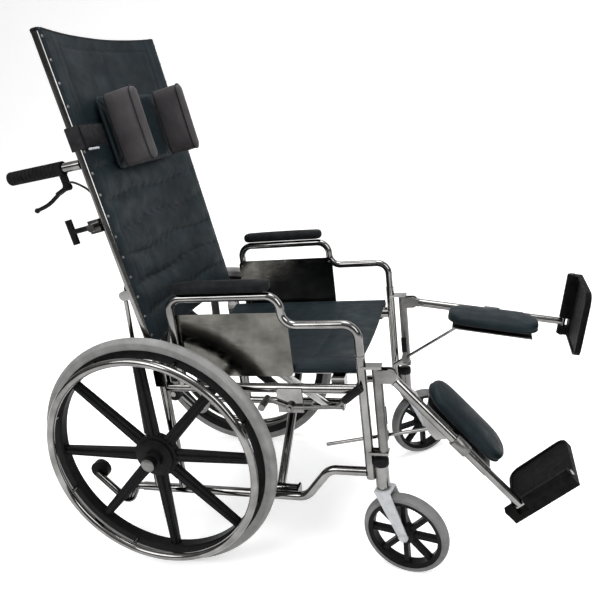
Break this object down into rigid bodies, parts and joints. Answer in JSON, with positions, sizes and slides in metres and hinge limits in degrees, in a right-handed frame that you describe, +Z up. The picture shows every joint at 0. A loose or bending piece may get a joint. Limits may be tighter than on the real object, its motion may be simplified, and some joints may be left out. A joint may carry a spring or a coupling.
{
  "type": "reclining wheelchair",
  "caption": "Folding wheelchair with a tall reclining back, head wings, swing-away elevating leg rests with calf pads, lift-out arms and spoked wheels.",
  "frame": {"origin": "floor point under the middle of the chair's outline", "axes": "+X ahead, the way the sitter faces, +Y to the sitter's left, +Z up"},
  "size_m": [1.3238, 0.689, 1.2851],
  "materials": {
    "chrome": "polished",
    "steel": "satin",
    "fork": "satin silver",
    "vinyl": "soft grained vinyl",
    "head_vinyl": "soft grained vinyl",
    "arm_pad": "matte moulded foam",
    "grip": "matte ribbed",
    "black_plastic": "matte",
    "cable": "satin sheath",
    "cylinder": "satin black",
    "mag_wheel": "moulded",
    "grey_tyre": "matte",
    "black_tyre": "matte",
    "skirt": "polished"
  },
  "bodies": {
    "right_frame": {"right_side_frame": "chrome", "seat_sling": "vinyl"},
    "front_brace": {"cross_brace_front": "chrome"},
    "rear_brace": {"cross_brace_rear": "chrome"},
    "left_frame": {"left_side_frame": "chrome"},
    "right_cane": {"right_back_cane": "chrome", "right_hand_grip": "grip", "right_release_cable": "cable", "spreader_bar": "chrome", "back_sling": "vinyl", "head_support": "head_vinyl"},
    "right_cylinder": {"right_recline_cylinder": "cylinder"},
    "right_piston": {"right_cylinder_rod": "chrome"},
    "right_lever": {"right_release_lever": "black_plastic"},
    "right_knob": {"right_t_knob": "black_plastic"},
    "right_wheel": {"right_rear_wheel": "mag_wheel", "right_rear_tyre": "grey_tyre", "right_hand_rim": "chrome"},
    "right_fork": {"right_caster_fork": "fork"},
    "right_caster": {"right_caster_wheel": "mag_wheel", "right_caster_tyre": "black_tyre"},
    "right_arm": {"right_arm_frame": "chrome", "right_arm_pad": "arm_pad", "right_skirt_panel": "skirt"},
    "right_hanger": {"right_leg_hanger": "steel"},
    "right_leg": {"right_leg_tube": "chrome"},
    "right_clamp": {"right_lift_clamp": "steel"},
    "right_rod": {"right_lift_rod": "chrome"},
    "right_foot": {"right_foot_tube": "chrome"},
    "right_plate": {"right_footplate": "black_plastic"},
    "right_calf": {"right_calf_pad": "vinyl"},
    "right_lock": {"right_lock_lever": "steel"},
    "right_anti_tip": {"right_anti_tip_tube": "chrome"},
    "right_roller": {"right_anti_tip_roller": "grey_tyre"},
    "left_cane": {"left_back_cane": "chrome", "left_hand_grip": "grip", "left_release_cable": "cable"},
    "left_cylinder": {"left_recline_cylinder": "cylinder"},
    "left_piston": {"left_cylinder_rod": "chrome"},
    "left_lever": {"left_release_lever": "black_plastic"},
    "left_knob": {"left_t_knob": "black_plastic"},
    "left_wheel": {"left_rear_wheel": "mag_wheel", "left_rear_tyre": "grey_tyre", "left_hand_rim": "chrome"},
    "left_fork": {"left_caster_fork": "fork"},
    "left_caster": {"left_caster_wheel": "mag_wheel", "left_caster_tyre": "black_tyre"},
    "left_arm": {"left_arm_frame": "chrome", "left_arm_pad": "arm_pad", "left_skirt_panel": "skirt"},
    "left_hanger": {"left_leg_hanger": "steel"},
    "left_leg": {"left_leg_tube": "chrome"},
    "left_clamp": {"left_lift_clamp": "steel"},
    "left_rod": {"left_lift_rod": "chrome"},
    "left_foot": {"left_foot_tube": "chrome"},
    "left_plate": {"left_footplate": "black_plastic"},
    "left_calf": {"left_calf_pad": "vinyl"},
    "left_lock": {"left_lock_lever": "steel"},
    "left_anti_tip": {"left_anti_tip_tube": "chrome"},
    "left_roller": {"left_anti_tip_roller": "grey_tyre"}
  },
  "joints": [
    {"name": "fold", "type": "hinge", "parent": "right_frame", "child": "front_brace", "pos_m": [-0.08195, -0.212, 0.175], "axis": [1, 0, 0], "range_deg": [0, 36], "deforming": ["seat_sling", "back_sling", "head_support"]},
    {"name": "fold_scissor", "type": "hinge", "parent": "front_brace", "child": "rear_brace", "pos_m": [-0.06945, 0, 0.33792], "axis": [1, 0, 0], "range_deg": [-72, 0]},
    {"name": "fold_left", "type": "hinge", "parent": "rear_brace", "child": "left_frame", "pos_m": [-0.05695, 0.212, 0.175], "axis": [1, 0, 0], "range_deg": [0, 36]},
    {"name": "right_recline", "type": "hinge", "parent": "right_frame", "child": "right_cane", "pos_m": [-0.33194, -0.241, 0.505], "axis": [0, -1, 0], "range_deg": [-10, 70]},
    {"name": "right_cylinder_pivot", "type": "hinge", "parent": "right_frame", "child": "right_cylinder", "pos_m": [-0.40194, -0.241, 0.318], "axis": [0, -1, 0], "range_deg": [-5, 35]},
    {"name": "right_piston_pivot", "type": "hinge", "parent": "right_cane", "child": "right_piston", "pos_m": [-0.38625, -0.241, 0.69715], "axis": [0, -1, 0], "range_deg": [-35, 5]},
    {"name": "right_release", "type": "hinge", "parent": "right_cane", "child": "right_lever", "pos_m": [-0.47291, -0.241, 0.95583], "axis": [0, 1, 0], "range_deg": [0, 12], "stiffness_Nm_per_rad": 0.8, "springref_deg": -6.88},
    {"name": "right_knob_turn", "type": "hinge", "parent": "right_cane", "child": "right_knob", "pos_m": [-0.48715, -0.241, 0.85299], "axis": [-0.986, 0, -0.1668], "continuous": true},
    {"name": "right_wheel_spin", "type": "hinge", "parent": "right_frame", "child": "right_wheel", "pos_m": [-0.35694, -0.29, 0.305], "axis": [0, 1, 0], "continuous": true},
    {"name": "right_caster_swivel", "type": "hinge", "parent": "right_frame", "child": "right_fork", "pos_m": [0.18106, -0.241, 0.216], "axis": [0, 0, 1], "continuous": true},
    {"name": "right_caster_spin", "type": "hinge", "parent": "right_fork", "child": "right_caster", "pos_m": [0.22605, -0.25056, 0.1015], "axis": [0.2079, 0.9781, 0], "continuous": true},
    {"name": "right_arm_lift", "type": "slide", "parent": "right_frame", "child": "right_arm", "axis": [0, 0, 1], "range_m": [0, 0.11]},
    {"name": "right_leg_swing", "type": "hinge", "parent": "right_frame", "child": "right_hanger", "pos_m": [0.18906, -0.241, 0.498], "axis": [0, 0, 1], "range_deg": [-95, 0]},
    {"name": "right_leg_raise", "type": "hinge", "parent": "right_hanger", "child": "right_leg", "pos_m": [0.21605, -0.241, 0.498], "axis": [0, -1, 0], "range_deg": [-15.5, 54.5]},
    {"name": "right_clamp_pivot", "type": "hinge", "parent": "right_hanger", "child": "right_clamp", "pos_m": [0.18911, -0.216, 0.33522], "axis": [0, -1, 0], "range_deg": [-8.25, 27.75]},
    {"name": "right_rod_pivot", "type": "hinge", "parent": "right_leg", "child": "right_rod", "pos_m": [0.30722, -0.216, 0.36047], "axis": [0, -1, 0], "range_deg": [-27.75, 8.25]},
    {"name": "right_foot_length", "type": "slide", "parent": "right_leg", "child": "right_foot", "axis": [0.6494, 0, -0.7604], "range_m": [0, 0.06]},
    {"name": "right_footplate_flip", "type": "hinge", "parent": "right_foot", "child": "right_plate", "pos_m": [0.47843, -0.241, 0.1908], "axis": [0.7604, 0, 0.6494], "range_deg": [0, 28]},
    {"name": "right_calf_swing", "type": "hinge", "parent": "right_leg", "child": "right_calf", "pos_m": [0.35731, -0.241, 0.33261], "axis": [0.6494, 0, -0.7604], "range_deg": [0, 100]},
    {"name": "right_wheel_lock", "type": "hinge", "parent": "right_frame", "child": "right_lock", "pos_m": [-0.01195, -0.261, 0.425], "axis": [0, -1, 0], "range_deg": [0, 20]},
    {"name": "right_anti_tip_slide", "type": "slide", "parent": "right_frame", "child": "right_anti_tip", "axis": [-1, 0, 0], "range_m": [0, 0.05]},
    {"name": "right_roller_spin", "type": "hinge", "parent": "right_anti_tip", "child": "right_roller", "pos_m": [-0.58295, -0.221, 0.205], "axis": [0, 1, 0], "continuous": true},
    {"name": "left_recline", "type": "hinge", "parent": "left_frame", "child": "left_cane", "pos_m": [-0.33194, 0.241, 0.505], "axis": [0, -1, 0], "range_deg": [-10, 70]},
    {"name": "left_cylinder_pivot", "type": "hinge", "parent": "left_frame", "child": "left_cylinder", "pos_m": [-0.40194, 0.241, 0.318], "axis": [0, -1, 0], "range_deg": [-5, 35]},
    {"name": "left_piston_pivot", "type": "hinge", "parent": "left_cane", "child": "left_piston", "pos_m": [-0.38625, 0.241, 0.69715], "axis": [0, -1, 0], "range_deg": [-35, 5]},
    {"name": "left_release", "type": "hinge", "parent": "left_cane", "child": "left_lever", "pos_m": [-0.47291, 0.241, 0.95583], "axis": [0, 1, 0], "range_deg": [0, 12], "stiffness_Nm_per_rad": 0.8, "springref_deg": -6.88},
    {"name": "left_knob_turn", "type": "hinge", "parent": "left_cane", "child": "left_knob", "pos_m": [-0.48715, 0.241, 0.85299], "axis": [-0.986, 0, -0.1668], "continuous": true},
    {"name": "left_wheel_spin", "type": "hinge", "parent": "left_frame", "child": "left_wheel", "pos_m": [-0.35694, 0.29, 0.305], "axis": [0, 1, 0], "continuous": true},
    {"name": "left_caster_swivel", "type": "hinge", "parent": "left_frame", "child": "left_fork", "pos_m": [0.18106, 0.241, 0.216], "axis": [0, 0, 1], "continuous": true},
    {"name": "left_caster_spin", "type": "hinge", "parent": "left_fork", "child": "left_caster", "pos_m": [0.21779, 0.26868, 0.1015], "axis": [-0.6018, 0.7986, 0], "continuous": true},
    {"name": "left_arm_lift", "type": "slide", "parent": "left_frame", "child": "left_arm", "axis": [0, 0, 1], "range_m": [0, 0.11]},
    {"name": "left_leg_swing", "type": "hinge", "parent": "left_frame", "child": "left_hanger", "pos_m": [0.18906, 0.241, 0.498], "axis": [0, 0, 1], "range_deg": [0, 95]},
    {"name": "left_leg_raise", "type": "hinge", "parent": "left_hanger", "child": "left_leg", "pos_m": [0.21605, 0.241, 0.498], "axis": [0, -1, 0], "range_deg": [-55.5, 14.5]},
    {"name": "left_clamp_pivot", "type": "hinge", "parent": "left_hanger", "child": "left_clamp", "pos_m": [0.18911, 0.216, 0.33522], "axis": [0, -1, 0], "range_deg": [-28.25, 7.75]},
    {"name": "left_rod_pivot", "type": "hinge", "parent": "left_leg", "child": "left_rod", "pos_m": [0.37429, 0.216, 0.45124], "axis": [0, -1, 0], "range_deg": [-7.75, 28.25]},
    {"name": "left_foot_length", "type": "slide", "parent": "left_leg", "child": "left_foot", "axis": [0.9863, 0, -0.165], "range_m": [0, 0.06]},
    {"name": "left_footplate_flip", "type": "hinge", "parent": "left_foot", "child": "left_plate", "pos_m": [0.61452, 0.241, 0.43132], "axis": [-0.165, 0, -0.9863], "range_deg": [0, 28]},
    {"name": "left_calf_swing", "type": "hinge", "parent": "left_leg", "child": "left_calf", "pos_m": [0.43057, 0.241, 0.4621], "axis": [-0.9863, 0, 0.165], "range_deg": [0, 100]},
    {"name": "left_wheel_lock", "type": "hinge", "parent": "left_frame", "child": "left_lock", "pos_m": [-0.01195, 0.261, 0.425], "axis": [0, -1, 0], "range_deg": [0, 20]},
    {"name": "left_anti_tip_slide", "type": "slide", "parent": "left_frame", "child": "left_anti_tip", "axis": [-1, 0, 0], "range_m": [0, 0.05]},
    {"name": "left_roller_spin", "type": "hinge", "parent": "left_anti_tip", "child": "left_roller", "pos_m": [-0.58295, 0.221, 0.205], "axis": [0, 1, 0], "continuous": true}
  ],
  "couplings": [
    {"joint": "fold_scissor", "follows": "fold", "ratio": -2},
    {"joint": "fold_left", "follows": "fold", "ratio": 1},
    {"joint": "right_cylinder_pivot", "follows": "right_recline", "ratio": 0.5},
    {"joint": "right_piston_pivot", "follows": "right_recline", "ratio": -0.5},
    {"joint": "right_clamp_pivot", "follows": "right_leg_raise", "ratio": 0.5},
    {"joint": "right_rod_pivot", "follows": "right_leg_raise", "ratio": -0.5},
    {"joint": "left_recline", "follows": "right_recline", "ratio": 1},
    {"joint": "left_cylinder_pivot", "follows": "right_recline", "ratio": 0.5},
    {"joint": "left_piston_pivot", "follows": "right_recline", "ratio": -0.5},
    {"joint": "left_clamp_pivot", "follows": "left_leg_raise", "ratio": 0.5},
    {"joint": "left_rod_pivot", "follows": "left_leg_raise", "ratio": -0.5}
  ]
}
